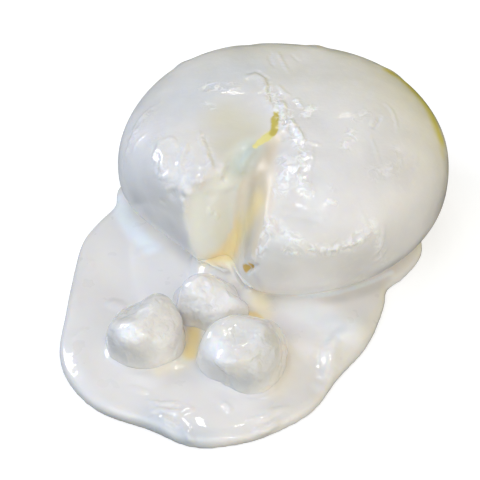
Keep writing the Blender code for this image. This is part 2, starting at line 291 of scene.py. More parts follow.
# facets and creases of the nuggets, by the nugget that carries them
NUGGET_FOLDS = {
    "nugget_left": {
        "left_foot": Fold(((112, 338), (116, 350)), 9, 1.4),
        "front_foot": Fold(((130, 360), (150, 362)), 9, 1.4),
        "plateau_edge": Fold(((118, 334), (124, 340), (134, 342), (146, 338), (154, 342)), 3.6, 0.6),
        "front_hollow": Fold(((128, 352), (140, 355), (152, 352)), 6, -0.6),
        "top_wrinkle_1": Fold(((126, 311), (136, 305), (148, 303)), 1.8, -0.3),
        "top_wrinkle_2": Fold(((118, 320), (128, 314), (138, 311)), 1.8, -0.35),
        "top_wrinkle_3": Fold(((131, 320), (141, 313), (150, 309)), 1.8, -0.25),
        "highlight_lump": Fold(((133, 324), (140, 333), (150, 336)), 3.4, 0.5),
        "right_flat": Fold(((172, 322), (174, 336)), 8, -0.5),
    },
    "nugget_middle": {
        "left_flank": Fold(((184, 296), (188, 306)), 9, 1.2),
        "ring": Fold(((194, 288), (196, 281), (202, 278), (208, 281), (210, 288)), 2.2, 0.45),
        "ring_hollow": Fold(((202, 285), (205, 288)), 2.8, -0.45),
        "waist": Fold(((188, 298), (196, 303), (206, 304), (214, 300)), 3.2, -0.5),
        "lower_knob": Fold(((196, 312), (204, 315)), 6, 0.6),
        "right_edge": Fold(((221, 280), (226, 290), (228, 298)), 3.2, 0.35),
        "right_flat": Fold(((228, 290), (236, 301)), 7, -0.4),
    },
    "nugget_right": {
        "plateau_edge": Fold(((208, 356), (218, 362), (232, 362), (246, 358), (256, 352)), 3.6, 0.7),
        "front_hollow": Fold(((222, 374), (234, 378), (244, 376)), 6, -0.7),
        "front_crease": Fold(((226, 367), (227, 376), (225, 386)), 2.2, 0.5),
        "front_edge": Fold(((252, 356), (256, 368), (254, 380)), 3.6, 0.5),
        "right_edge": Fold(((263, 328), (260, 340), (256, 352)), 3.4, 0.5),
        "right_flat": Fold(((271, 338), (272, 354)), 8, -0.5),
        "left_shoulder": Fold(((211, 332), (206, 342), (205, 354)), 7, 1.3),
        "back_shoulder": Fold(((222, 325), (238, 322), (254, 324)), 7, 1.1),
        "right_shoulder": Fold(((264, 330), (269, 342)), 6, 0.9),
        "top_fill": Fold(((226, 336), (236, 338), (246, 338)), 10, 0.8),
    },
}

# folds of the side that the view doesn't show, by bearing (0 is the right, 90 the back) and height
BACK_FOLDS = {
    "gather_1": Fold(((70, 66), (78, 52), (84, 36)), 6, 0.7),
    "gather_2": Fold(((104, 64), (108, 48), (104, 34)), 7, -0.8),
    "gather_3": Fold(((136, 62), (132, 46), (138, 30)), 6, 0.7),
    "gather_4": Fold(((40, 62), (34, 48), (36, 34)), 5, 0.5),
    "crease_1": Fold(((60, 30), (72, 27), (86, 29)), 3, -0.4, "SHARP"),
    "crease_2": Fold(((118, 26), (130, 29), (142, 27)), 3, -0.4, "SHARP"),
    "arc_1": Fold(((150, 50), (158, 42), (162, 32)), 2.2, 0.4, "SHARP"),
    "arc_2": Fold(((16, 46), (10, 38), (8, 28)), 2.2, 0.4, "SHARP"),
}

# what the whey and the cream have stained, and the shade, light and reflections painted on like stains
POUCH_TINTINGS = (
    # a greyer, darker skin over the top left
    Tinting("clear", ((196, 96), (222, 76), (250, 68)), 26, 0.8),
    # painted reflection: a yellow-green cast from the surroundings along the top right rim
    Tinting("olive", ((390, 72), (401, 79), (412, 89), (421, 99), (430, 112), (436, 125), (441, 139)), 7, 0.9),
    Tinting("olive", ((441, 139), (443, 155)), 5, 0.35),
    # the greenish whey of the cut's left face, painted lighter than the curd against the shade in the cut
    Tinting("green", ((250, 150), (238, 168), (220, 186)), 10),
    Tinting("green", ((198, 202), (196, 225), (204, 252)), 9, 0.9),
    Tinting("green", ((214, 196), (216, 225), (212, 250)), 11),
    Tinting("green", ((236, 178), (228, 205), (220, 232)), 9, 0.8),
    Tinting("peach", ((270, 142), (262, 165), (256, 190), (250, 215)), 9),
    Tinting("peach", ((267, 175), (264, 200), (260, 225), (254, 248)), 8),
    Tinting("peach", ((250, 176), (244, 200), (239, 222), (237, 246)), 9),
    Tinting("orange", ((256, 204), (250, 217), (241, 232)), 10, 0.9),
    Tinting("butter", ((200, 258), (214, 254), (228, 244)), 7, 0.5),
    Tinting("orange", ((239, 232), (232, 246), (224, 256), (208, 262)), 8, 0.9),
    # the filling's yellow in the top of the crack, darkened with painted shade of the opening
    Tinting("ochre", ((276, 113), (276, 117)), 1.9),
    Tinting("ochre", ((275, 119), (275, 128), (273, 134)), 3.0),
    Tinting("yellow", ((271, 134), (266, 138)), 3.2),
    Tinting("yellow", ((266, 138), (260, 142)), 2.6),
    Tinting("yellow", ((260, 142), (254, 147)), 2.0),
    # the filling's colour in the pinhole, darkened with painted shade of the hole
    Tinting("amber", ((246, 268), (250, 266), (254, 265)), 3.2),
    # whey showing brown through the thin skin of the sag left of the crack, darkened with painted shade
    Tinting("brown", ((226, 118), (246, 132), (232, 146)), 17, 0.8),
    # painted shade that dims a brightly lit spot at the top of the cut's green face
    Tinting("moss", ((252, 148), (245, 157), (238, 168)), 9, 0.9),
    # the peach wall's deeper colour, darkened with painted shade where it faces the window
    Tinting("biscuit", ((265, 150), (262, 172), (260, 195)), 9, 0.9),
    Tinting("biscuit", ((262, 195), (258, 220), (254, 245)), 9, 0.4),
    Tinting("biscuit", ((260, 160), (254, 190), (250, 222), (247, 250)), 8, 0.7),
    # painted shade on the lower left of the left lobe
    Tinting("dusk", ((140, 205), (155, 222), (172, 234)), 14, 0.8),
    Tinting("dusk", ((174, 228), (184, 242)), 10, 0.6),
)
CREAM_TINTINGS = (
    Tinting("butter", ((204, 263), (222, 260), (240, 264)), 7, 0.8),
    Tinting("orange", ((212, 259), (222, 257), (232, 258)), 4, 0.6),
    Tinting("butter", ((254, 286), (262, 300), (262, 312)), 8, 0.5),
    Tinting("orange", ((194, 330), (193, 342), (190, 354)), 6),
    Tinting("orange", ((234, 317), (250, 314), (258, 318)), 4),
    Tinting("butter", ((258, 300), (266, 316)), 8, 0.5),
    Tinting("butter", ((288, 345), (288, 372), (276, 392)), 9, 0.35),
    Tinting("butter", ((160, 370), (178, 366), (188, 358)), 8, 0.5),
    # painted bluish light on the cream in the band shaded by the pouch's left side
    Tinting("sky", ((117, 202), (126, 220), (138, 236), (152, 248)), 8, 0.9),
    # painted light on the pool to the right of the pouch's foot
    Tinting("milk", ((300, 306), (322, 318), (342, 328)), 18, 0.9),
    # a painted bright reflection along the pouch's lower edge
    Tinting("sky", ((300, 297), (330, 294), (362, 285), (392, 272)), 2.5, 0.9),
    Tinting("shade", ((306, 303), (338, 300), (368, 291), (388, 280)), 5, 0.5),
    # painted shade along the cream's front rim
    Tinting("clear", ((152, 424), (172, 436), (196, 440)), 16, 0.8),
)
NUGGET_TINTINGS = {
    "nugget_left": (
        Tinting("shade", ((112, 346), (124, 354), (142, 360)), 10, 0.9),
        # painted highlight on the left nugget's top
        Tinting("milk", ((122, 338), (128, 330), (136, 336)), 6, 0.6),
    ),
    "nugget_middle": (
        Tinting("shade", ((192, 306), (200, 318)), 8, 0.8),
        # painted highlight on the middle nugget's top, and painted light on its right side
        Tinting("milk", ((198, 284), (208, 288)), 8, 0.3),
        Tinting("milk", ((222, 284), (232, 298)), 8, 0.9),
    ),
    "nugget_right": (
        Tinting("shade", ((216, 374), (232, 380), (246, 384)), 10, 0.9),
        Tinting("shade", ((272, 340), (270, 360), (262, 374)), 9, 0.7),
        # painted highlight on the right nugget's left facet
        Tinting("milk", ((214, 346), (218, 356)), 7, 0.7),
    ),
}

# the room's light: soft glows, each with the elevation and the bearing of its middle, where 0 is the right
# and 90 the back
ROOM_GLOWS = {
    "window_in_front": Glow(45, 240, (1.98, 2.20, 2.06)),
    "second_window_in_front": Glow(45, 300, (0.55, 0.43, 0.70)),
    "left_wall": Glow(45, 180, (0.00, 0.10, 0.51)),
    "left_wall_below": Glow(15, 180, (0.00, 0.05, 0.16)),
    "front_wall": Glow(15, 315, (1.36, 1.34, 0.99)),
    "right_wall": Glow(15, 0, (0.18, 0.12, 0.08)),
    "far_wall": Glow(15, 90, (0.18, 0.16, 0.00)),
    "far_right_corner": Glow(15, 45, (0.51, 0.45, 0.00)),
    "table_on_the_right": Glow(-12, 0, (0.06, 0.13, 0.14)),
    "table_on_the_right_below": Glow(-35, 0, (0.67, 0.65, 0.67)),
    "table_behind_on_the_left": Glow(-35, 135, (0.56, 0.59, 0.64)),
}
GLOW_TIGHTNESS = 6.0

# lamps a metre away, each with its width and height in metres and its power in watts
LAMPS = {
    "tall_window": Lamp(30, 154, (0.30, 0.34), 3.1),
    "skylight_pane_1": Lamp(72, 62, (0.04, 0.15), 0.33, (1.0, 0.98, 0.94)),
    "skylight_pane_2": Lamp(73, 90, (0.04, 0.15), 0.33, (1.0, 0.98, 0.94)),
    "skylight_pane_3": Lamp(72, 118, (0.04, 0.15), 0.33, (1.0, 0.98, 0.94)),
    "far_lamp_1": Lamp(46, 74, (0.08, 0.05), 0.08, (1.0, 0.95, 0.85)),
    "far_lamp_2": Lamp(42, 97, (0.08, 0.05), 0.1, (1.0, 0.95, 0.85)),
    "near_lamp": Lamp(53, 282, (0.12, 0.07), 0.4),
    "front_pane_1": Lamp(52, 237, (0.03, 0.12), 0.15),
    "front_pane_2": Lamp(52, 245, (0.03, 0.12), 0.15),
}


def tone(red, green, blue):
    """A colour as the eye reads it, 0 to 255, as Blender's linear values."""
    return tuple(((c / 255 + 0.055) / 1.055) ** 2.4 for c in (red, green, blue))


class MozzarellaSkinSettings(bpy.types.PropertyGroup):
    """The stretched skin of the pouch."""

    body_grid: FloatProperty(
        name="Body Grid", description="Size of the cells of the body", default=1.4 * MM, unit="LENGTH"
    )
    smoothing: FloatProperty(name="Smoothing", description="Passes that round the body", default=14, min=0)
    grid: FloatProperty(name="Grid", description="Size of the skin's cells", default=0.7 * MM, unit="LENGTH")
    ruffles: FloatProperty(
        name="Ruffles", description="Height of the ruffles in the skin", default=0.9 * MM, unit="LENGTH"
    )
    curd: FloatVectorProperty(
        name="Curd", description="Colour of the stretched curd", subtype="COLOR", default=tone(232, 229, 227)
    )


class MozzarellaCreamSettings(bpy.types.PropertyGroup):
    """The cream that has run out of the pouch."""

    grid: FloatProperty(name="Grid", description="Size of its cells", default=0.8 * MM, unit="LENGTH")
    pouch_climb: FloatProperty(
        name="Climb on Pouch", description="Its height on the pouch", default=11.5 * MM, unit="LENGTH"
    )
    cut_climb: FloatProperty(
        name="Climb in Cut", description="Its height in the pouch's cut", default=18.5 * MM, unit="LENGTH"
    )
    pouch_coat: FloatProperty(
        name="Coat on Pouch", description="Its thickness on the pouch", default=0.6 * MM, unit="LENGTH"
    )
    nugget_climb: FloatProperty(
        name="Climb on Nuggets", description="Its height on a nugget", default=9.5 * MM, unit="LENGTH"
    )
    nugget_coat: FloatProperty(
        name="Coat on Nuggets", description="Its thickness on a nugget", default=0.35 * MM, unit="LENGTH"
    )
    cream: FloatVectorProperty(
        name="Cream", description="Colour of the cream", subtype="COLOR", default=tone(236, 232, 228)
    )


class MozzarellaNuggetSettings(bpy.types.PropertyGroup):
    """The three nuggets of curd."""

    grid: FloatProperty(name="Grid", description="Size of a nugget's cells", default=0.5 * MM, unit="LENGTH")
    lumps: FloatProperty(name="Lumps", description="Height of its lumps", default=1.2 * MM, unit="LENGTH")
    curd: FloatVectorProperty(
        name="Curd", description="Colour of a nugget", subtype="COLOR", default=tone(234, 231, 227)
    )


class MozzarellaStageSettings(bpy.types.PropertyGroup):
    """The floor, the lights and the camera."""

    elevation: FloatProperty(
        name="Elevation", description="The camera's angle down", default=math.radians(42), subtype="ANGLE"
    )
    distance: FloatProperty(
        name="Distance", description="From the camera to what it looks at", default=0.62, unit="LENGTH"
    )
    room: FloatProperty(name="Room", description="Strength of the light all round", default=1.0, min=0)
    floor: FloatVectorProperty(
        name="Floor", description="Colour of the floor", subtype="COLOR", default=tone(190, 190, 190)
    )
    floor_glow: FloatProperty(name="Floor Glow", description="How much the floor glows", default=0.62, min=0)


def only(piece):
    """Leaves one piece selected and active."""
    bpy.ops.object.select_all(action="DESELECT")
    piece.select_set(True)
    bpy.context.view_layer.objects.active = piece


def finish_with(piece, kind, **settings):
    """Adds a modifier to a piece and applies it."""
    only(piece)
    modifier = piece.modifiers.new(kind.title(), kind)
    for setting, value in settings.items():
        setattr(modifier, setting, value)
    bpy.ops.object.modifier_apply(modifier=modifier.name)


def recast(piece, grid):
    """Gives a piece one closed surface of even cells."""
    finish_with(piece, "REMESH", mode="VOXEL", voxel_size=grid, use_smooth_shade=True)


def smooth(piece, passes, **settings):
    """Smooths a piece, each pass halfway to the middle of each vertex's neighbours."""
    finish_with(piece, "SMOOTH", factor=0.5, iterations=passes, **settings)


def vertex_places(piece):
    """The places of a piece's vertices, one row each."""
    places = np.empty(len(piece.data.vertices) * 3)
    piece.data.vertices.foreach_get("co", places)
    return places.reshape(-1, 3)


def vertex_normals(piece):
    """The normals of a piece's vertices, one row each."""
    normals = np.empty(len(piece.data.vertices) * 3)
    piece.data.vertex_normals.foreach_get("vector", normals)
    return normals.reshape(-1, 3)


def soft_step(amounts):
    """Eases amounts from 0 to 1, and holds them there outside that range."""
    amounts = np.clip(amounts, 0, 1)
    return amounts * amounts * (3 - 2 * amounts)


def merged_copy(name, source):
    """A new piece with the shape of a CAD solid or of another piece, its loose triangles merged."""
    piece = bpy.data.objects.new(name, source.data.copy())
    bpy.context.scene.collection.objects.link(piece)
    piece.data.materials.clear()
    only(piece)
    bpy.ops.object.mode_set(mode="EDIT")
    bpy.ops.mesh.select_all(action="SELECT")
    bpy.ops.mesh.remove_doubles(threshold=MERGE_DISTANCE)
    bpy.ops.object.mode_set(mode="OBJECT")
    return piece


def stand_on_table():
    """Cuts the piece in edit mode off level, just above the table."""
    bpy.ops.mesh.select_all(action="SELECT")
    bpy.ops.mesh.bisect(plane_co=(0, 0, ABOVE_TABLE), plane_no=(0, 0, 1), use_fill=True, clear_inner=True)


def coated_foot(source, coat, climb, sides=()):
    """The foot of a piece up to a height, in a coat of cream that thins to nothing at its top and sides."""
    piece = merged_copy(source.name + "_foot", source)
    edge_dip = -3 * coat
    bpy.ops.object.mode_set(mode="EDIT")
    bpy.ops.mesh.select_all(action="SELECT")
    bpy.ops.transform.shrink_fatten(value=coat)
    for place, facing in (*sides, ((0, 0, climb), (0, 0, 1))):
        bpy.ops.mesh.select_all(action="SELECT")
        bpy.ops.mesh.bisect(plane_co=place, plane_no=facing, use_fill=True, clear_outer=True)
        bpy.ops.transform.shrink_fatten(value=edge_dip)
    stand_on_table()
    bpy.ops.object.mode_set(mode="OBJECT")
    return piece


def heap(place, half):
    """A lump of cream, its middle and half sizes in millimetres, measured from the pouch's axis."""
    bpy.ops.object.select_all(action="DESELECT")
    middle = POUCH_AXIS + Vector(place) * MM
    bpy.ops.mesh.primitive_ico_sphere_add(subdivisions=4, radius=MM, location=middle)
    piece = bpy.context.object
    piece.scale = half
    bpy.ops.object.transform_apply(location=True, rotation=False, scale=True)
    bpy.ops.object.mode_set(mode="EDIT")
    stand_on_table()
    bpy.ops.object.mode_set(mode="OBJECT")
    return piece


def view_basis(stage):
    """The camera's place, and the directions it calls forward, right and up."""
    forward = Vector((0, math.cos(stage.elevation), -math.sin(stage.elevation)))
    up = Vector((0, math.sin(stage.elevation), math.cos(stage.elevation)))
    place = POUCH_AXIS + AIM_FROM_AXIS - forward * stage.distance
    return place, forward, Vector((1, 0, 0)), up


def between(before, start, end, after, share):
    """The place a share of the way from start to end on the smooth curve through four places."""
    place = []
    for a, b, c, d in zip(before, start, end, after):
        bend = 2 * a - 5 * b + 4 * c - d
        twist = 3 * b - 3 * c + d - a
        place.append((2 * b + (c - a) * share + bend * share**2 + twist * share**3) / 2)
    return place


class Clay:
    """A piece in edit mode, shaped by strokes that pull or press its surface along a route."""

    # a stroke's ends get this share of its lift, and each end is this part of its route
    END_SHARE = 0.45
    MARGIN = 5

    def __init__(self, piece, stage):
        only(piece)
        bpy.ops.object.mode_set(mode="EDIT")
        self.piece = piece
        self.mesh = bmesh.from_edit_mesh(piece.data)
        self.mesh.verts.ensure_lookup_table()
        self.surface = BVHTree.FromBMesh(self.mesh)
        self.points = KDTree(len(self.mesh.verts))
        for vertex in self.mesh.verts:
            self.points.insert(vertex.co, vertex.index)
        self.points.balance()
        self.eye, self.forward, self.right, self.up = view_basis(stage)
        self.reach = stage.distance / VIEW_SCALE

    def seen(self, across, down):
        """Where the camera's ray through a pixel meets the piece."""
        to_right = (across - VIEW_SIDE / 2) / self.reach
        to_bottom = (down - VIEW_SIDE / 2) / self.reach
        ray = self.forward + self.right * to_right - self.up * to_bottom
        return self.surface.ray_cast(self.eye, ray.normalized())[0]

    def around(self, bearing, height):
        """Where a level ray towards the pouch's axis meets the piece from outside."""
        angle = math.radians(bearing)
        outward = Vector((math.cos(angle), math.sin(angle), 0))
        start = POUCH_AXIS + outward * OUTSIDE_POUCH + Vector((0, 0, height * MM))
        return self.surface.ray_cast(start, -outward)[0]

    def laid(self, route, find=None):
        """The points on the piece of the smooth curve through a route, a pixel or a degree apart."""
        find = find or self.seen
        ends = (route[0], *route, route[-1])
        places = []
        for before, start, end, after in zip(ends, ends[1:], ends[2:], ends[3:]):
            count = max(1, math.ceil(math.dist(start, end)))
            for i in range(count + 1):
                spot = find(*between(before, start, end, after, i / count))
                if spot is not None:
                    places.append(spot)
        if not places:
            raise ValueError(f"{self.piece.name}: the route {route} misses it")
        return places

    def stroke(self, fold, find=None):
        """Raises the surface along a fold's route, less at its ends. A negative lift presses it in."""
        places = self.laid(fold.route, find)
        low = fold.lift * self.END_SHARE
        high = fold.lift * (1 - self.END_SHARE)
        margin = len(places) // self.MARGIN
        self.push(places, fold.width, low, fold.fall)
        self.push(places[margin : len(places) - margin], fold.width, high, fold.fall)

    def push(self, places, width, lift, fall):
        """Moves the vertices at some places out by a lift in millimetres, and those round them less."""
        bpy.ops.mesh.select_all(action="DESELECT")
        for place in places:
            self.mesh.verts[self.points.find(place)[1]].select_set(True)
        self.mesh.select_flush(True)
        bmesh.update_edit_mesh(self.piece.data, loop_triangles=False, destructive=False)
        bpy.ops.transform.shrink_fatten(
            value=lift * MM,
            use_proportional_edit=True,
            proportional_edit_falloff=fall,
            proportional_size=width * MM,
        )

    def done(self):
        bpy.ops.object.mode_set(mode="OBJECT")


def smooth_faces(piece, sharpness, margin, passes):
    """Rounds a remeshed piece's faces, and leaves a margin along its sharp edges as it is."""
    only(piece)
    bpy.ops.object.mode_set(mode="EDIT")
    bpy.ops.mesh.select_all(action="DESELECT")
    bpy.ops.mesh.select_mode(type="EDGE")
    bpy.ops.mesh.edges_select_sharp(sharpness=sharpness)
    bpy.ops.mesh.select_mode(type="VERT")
    for _ in range(margin):
        bpy.ops.mesh.select_more()
    bpy.ops.mesh.select_all(action="INVERT")
    piece.vertex_groups.new(name="faces")
    bpy.ops.object.vertex_group_assign()
    bpy.ops.object.mode_set(mode="OBJECT")
    smooth(piece, passes, vertex_group="faces")
    piece.vertex_groups.clear()


def nearness(piece, places, reach):
    """How near each vertex is to some places: 1 at one of them, 0 past the reach in millimetres."""
    spots = vertex_places(piece)
    nearest = np.full(len(spots), np.inf)
    for place in places:
        nearest = np.minimum(nearest, np.linalg.norm(spots - np.array(place), axis=1))
    return soft_step(1 - nearest / (reach * MM))


def finish_near(piece, amounts, kind, **settings):
    """Adds a modifier to a piece, applies it, and weakens it where the amounts are under 1."""
    group = piece.vertex_groups.new(name="touched")
    levels = np.round(amounts * WEIGHT_LEVELS).astype(int)
    for level in range(1, WEIGHT_LEVELS + 1):
        group.add(np.flatnonzero(levels == level).tolist(), level / WEIGHT_LEVELS, "REPLACE")
    finish_with(piece, kind, vertex_group=group.name, **settings)
    piece.vertex_groups.clear()


def thin_unseen(piece, stage):
    """Thins a piece's mesh where it faces away from the camera, until it has few enough triangles."""
    piece.data.calc_loop_triangles()
    share = MOST_TRIANGLES / len(piece.data.loop_triangles)
    if share < 1:
        forward = np.array(view_basis(stage)[1])
        away = np.clip(vertex_normals(piece) @ forward * 4, 0, 1)
        finish_near(piece, away, "DECIMATE", ratio=share)


def melt(piece, melts, stage):
    """Lets a piece's surface run together along each melt's route."""
    clay = Clay(piece, stage)
    laid = [clay.laid(one.route)[::PLACE_STEP] for one in melts]
    clay.done()
    for one, places in zip(melts, laid):
        amounts = np.clip(nearness(piece, places, one.reach) * 2, 0, 1)
        finish_near(piece, amounts, "SMOOTH", factor=0.5, iterations=one.passes)


def write_amounts(piece, name, amounts):
    """Writes an attribute with an amount for each vertex of a piece."""
    attribute = piece.data.attributes.get(name) or piece.data.attributes.new(name, "FLOAT", "POINT")
    attribute.data.foreach_set("value", amounts.astype(np.float32))


def ruffle(piece, patches, height, stage):
    """Ruffles a piece's surface in patches, and writes an attribute that says how much, vertex by vertex."""
    clay = Clay(piece, stage)
    laid = [clay.laid(patch.route)[::PLACE_STEP] for patch in patches]
    clay.done()
    amounts = np.zeros(len(piece.data.vertices))
    for patch, places in zip(patches, laid):
        amounts = np.maximum(amounts, nearness(piece, places, patch.reach) * patch.strength)
    creases = bpy.data.textures.new("creases", "CLOUDS")
    creases.noise_scale = CREASE_SIZE
    creases.noise_depth = 1
    finish_near(piece, amounts, "DISPLACE", texture=creases, texture_coords="LOCAL", strength=height)
    write_amounts(piece, "ruffled", amounts)


def paint(piece, places, reach):
    """How strongly a tinting along some places colours each vertex, which has to face much as they do."""
    spots = vertex_places(piece)
    normals = vertex_normals(piece)
    nearest = np.full(len(spots), np.inf)
    facing = np.zeros(len(spots))
    for place in places:
        away = np.linalg.norm(spots - np.array(place), axis=1)
        home = normals[np.argmin(away)]
        closer = away < nearest
        nearest[closer] = away[closer]
        facing[closer] = (normals[closer] * home).sum(axis=1)
    return soft_step(1 - nearest / (reach * MM)) * soft_step((facing - LEAST_FACING) / FACING_EASE)


def lay_tints(piece, tintings, stage):
    """Writes an attribute for each tint, which says how much of it each vertex has."""
    clay = Clay(piece, stage)
    laid = [clay.laid(one.route)[::PLACE_STEP] for one in tintings]
    clay.done()
    amounts = {}
    for one, places in zip(tintings, laid):
        amount = paint(piece, places, one.reach) * one.strength
        before = amounts.get(one.tint, 0)
        amounts[one.tint] = 1 - (1 - before) * (1 - amount)
    for tint, amount in amounts.items():
        write_amounts(piece, tint, amount)


def tints_of(tintings):
    """The tints that some tintings use, from the lowest to the topmost."""
    return sorted({one.tint for one in tintings}, key=list(TINTS).index)


class Wire:
    """One socket of a finish, so that shader maths reads as an expression."""

    def __init__(self, finish, socket):
        self.finish = finish
        self.socket = socket

    def maths(self, operation, first, second):
        return self.finish.node("ShaderNodeMath", {"operation": operation}, {0: first, 1: second})

    def __add__(self, other):
        return self.maths("ADD", self, other)

    def __radd__(self, other):
        return self.maths("ADD", other, self)

    def __sub__(self, other):
        return self.maths("SUBTRACT", self, other)

    def __rsub__(self, other):
        return self.maths("SUBTRACT", other, self)

    def __mul__(self, other):
        return self.maths("MULTIPLY", self, other)

    def __rmul__(self, other):
        return self.maths("MULTIPLY", other, self)

    def __pow__(self, other):
        return self.maths("POWER", self, other)


class Nodes:
    """A node tree under construction, which starts empty."""

    def __init__(self, owner):
        owner.use_nodes = True
        self.tree = owner.node_tree
        self.tree.nodes.clear()

    def node(self, kind, settings, sockets, out=0):
        """Adds a node with these settings and these socket values or links, and gives one of its outputs."""
        made = self.tree.nodes.new(kind)
        for setting, value in settings.items():
            setattr(made, setting, value)
        for key, value in sockets.items():
            if isinstance(value, Wire):
                self.tree.links.new(value.socket, made.inputs[key])
            else:
                made.inputs[key].default_value = value
        return Wire(self, made.outputs[out])

    def end(self, kind, shader):
        """Gives the finished shader to the tree's output."""
        output = self.tree.nodes.new(kind)
        self.tree.links.new(shader.socket, output.inputs["Surface"])


class Finish(Nodes):
    """A material under construction."""

    def __init__(self, name):
        self.material = bpy.data.materials.new(name)
        super().__init__(self.material)

    def place(self):
        return self.node("ShaderNodeTexCoord", {}, {}, "Object")

    def noise(self, place, size, detail, lean=0):
        """Noise from 0 to 1 with features of about this size in millimetres."""
        sockets = {"Vector": place, "Scale": 1 / (size * MM), "Detail": detail, "Distortion": lean}
        return self.node("ShaderNodeTexNoise", {}, sockets, "Fac")

    def ramp(self, value, low, high):
        """A soft step from 0 at low to 1 at high."""
        sockets = {"Value": value, "From Min": low, "From Max": high}
        return self.node("ShaderNodeMapRange", {"interpolation_type": "SMOOTHSTEP"}, sockets)

    def attribute(self, name):
        return self.node("ShaderNodeAttribute", {"attribute_name": name}, {}, "Fac")

    def blend(self, amount, under, over):
        """Colour over laid on colour under by an amount."""
        sockets = {"Factor": amount, 6: under, 7: over}
        return self.node("ShaderNodeMix", {"data_type": "RGBA"}, sockets, 2)

    def clouded(self, place, size, colour, dimming):
        """A colour that dims in soft clouds of about this size in millimetres."""
        dim = shade(tuple(c * dimming for c in colour))
        return self.blend(self.ramp(self.noise(place, size, detail=3), 0.35, 0.7), shade(colour), dim)

    def bump(self, height):
        """The normal of a surface whose height is given in millimetres."""
        return self.node("ShaderNodeBump", {}, {"Strength": 1.0, "Distance": MM, "Height": height})

    def surface(self, **sockets):
        """Ends the finish in a Principled BSDF; an underscore stands for a space in a socket's name."""
        named = {key.replace("_", " "): value for key, value in sockets.items()}
        shader = self.node("ShaderNodeBsdfPrincipled", {"subsurface_method": "RANDOM_WALK"}, named)
        self.end("ShaderNodeOutputMaterial", shader)
        return self.material


def shade(colour):
    """A colour as a node's socket takes it."""
    return (*colour, 1.0)


# the tintings' colours, for stains and for painted shade, light and reflections; a tinting lies over those
# of the tints above its own
TINTS = {
    # a grey: darker skin on the pouch's top left, and painted shade on the cream's front rim
    "clear": tone(216, 217, 219),
    "shade": tone(204, 202, 199),
    # a grey for painted shade
    "dusk": tone(198, 197, 198),
    # near white, laid on as painted highlights and painted light
    "milk": tone(252, 250, 249),
    # a yellow-green for a painted reflection
    "olive": tone(222, 210, 96),
    # a pale blue for painted light and painted reflection
    "sky": tone(242, 246, 252),
    # brown of whey through thin skin, with painted shade
    "brown": tone(216, 210, 188),
    # greenish whey, painted lighter than the curd to lift the shade in the cut
    "green": tone(243, 244, 236),
    "peach": tone(240, 226, 204),
    # a deeper peach, darkened with painted shade
    "biscuit": tone(210, 196, 173),
    # a green-grey for painted shade
    "moss": tone(200, 206, 197),
    "butter": tone(248, 236, 208),
    "orange": tone(247, 224, 170),
    "yellow": tone(232, 222, 150),
    # dark yellow: the filling with painted shade
    "ochre": tone(206, 190, 96),
    # dark amber: the filling with painted shade
    "amber": tone(214, 180, 100),
}
CRISP_TINTS = ("yellow", "ochre", "amber")
FLECKS = tone(240, 237, 230)

# how light travels under the surface of curd and cream
MILKY = {
    "IOR": 1.42,
    "Subsurface_Weight": 1.0,
    "Subsurface_Radius": (1.0, 0.85, 0.6),
    "Subsurface_Scale": 0.6 * MM,
}


def curd_finish(name, colour, tints):
    """Wet stretched curd: cloudy white, with stains, painted shade and light, glints painted on the crests
    of its ruffles, a patchy film of whey and fine fibres.
    """
    f = Finish(name)
    place = f.place()
    fine = f.noise(place, size=3, detail=4)
    base = f.clouded(place, size=22, colour=colour, dimming=0.93)
    base = f.blend(f.ramp(fine, 0.5, 0.75) * 0.25, base, shade(FLECKS))
    edge = (fine - 0.5) * 0.5
    for tint in tints:
        amount = f.attribute(tint)
        if tint in CRISP_TINTS:
            amount = f.ramp(amount + edge * amount, 0.02, 0.6)
        base = f.blend(amount, base, shade(TINTS[tint]))
    ruffled = f.attribute("ruffled")
    crests = f.noise(place, size=3.2, detail=1.5, lean=1)
    # painted highlights: the crests of the ruffled patches are painted near white, as glints
    painted_glints = f.ramp(ruffled, 0.05, 0.7) * f.ramp(crests, 0.43, 0.6) * 0.8
    base = f.blend(painted_glints, base, shade(TINTS["milk"]))
    swells = f.noise(place, size=7, detail=3) * 0.2
    fibres = f.noise(place, size=1.9, detail=3) * 0.06
    ridges = (crests - 0.5) * 1.2
    creases = (f.noise(place, size=1.3, detail=1, lean=0.8) - 0.5) * 0.12
    wet = f.ramp(f.noise(place, size=12, detail=4), 0.38, 0.6)
    dry = f.ramp(f.attribute("peach") + f.attribute("biscuit") + f.attribute("moss"), 0, 0.8) * 0.9
    return f.surface(
        Base_Color=base,
        Roughness=0.38 - wet * 0.1,
        Normal=f.bump(swells + fibres + ruffled * (ridges + creases)),
        Coat_Weight=(0.4 + wet * 0.3 + f.ramp(ruffled, 0.05, 0.4) * 0.4) * (1 - dry),
        Coat_Roughness=0.07,
        Coat_IOR=1.5,
        **MILKY,
    )


def cream_finish(name, colour, tints):
    """Thick wet cream: smooth, glossy, and faintly rippled."""
    f = Finish(name)
    place = f.place()
    base = f.clouded(place, size=34, colour=colour, dimming=0.95)
    edge = (f.noise(place, size=5, detail=3) - 0.5) * 0.5
    for tint in tints:
        amount = f.attribute(tint)
        base = f.blend(f.ramp(amount + edge * amount, 0.0, 1.0), base, shade(TINTS[tint]))
    swells = f.noise(place, size=14, detail=3) * 0.2
    ripples = f.noise(place, size=4, detail=2) * 0.03
    grain = f.noise(place, size=1.2, detail=2) * 0.006
    return f.surface(
        Base_Color=base,
        Roughness=0.34 - f.noise(place, size=9, detail=2) * 0.1,
        Normal=f.bump(swells + ripples + grain),
        Coat_Weight=1.0,
        Coat_Roughness=0.03,
        Coat_IOR=1.45,
        **{**MILKY, "IOR": 1.4},
    )


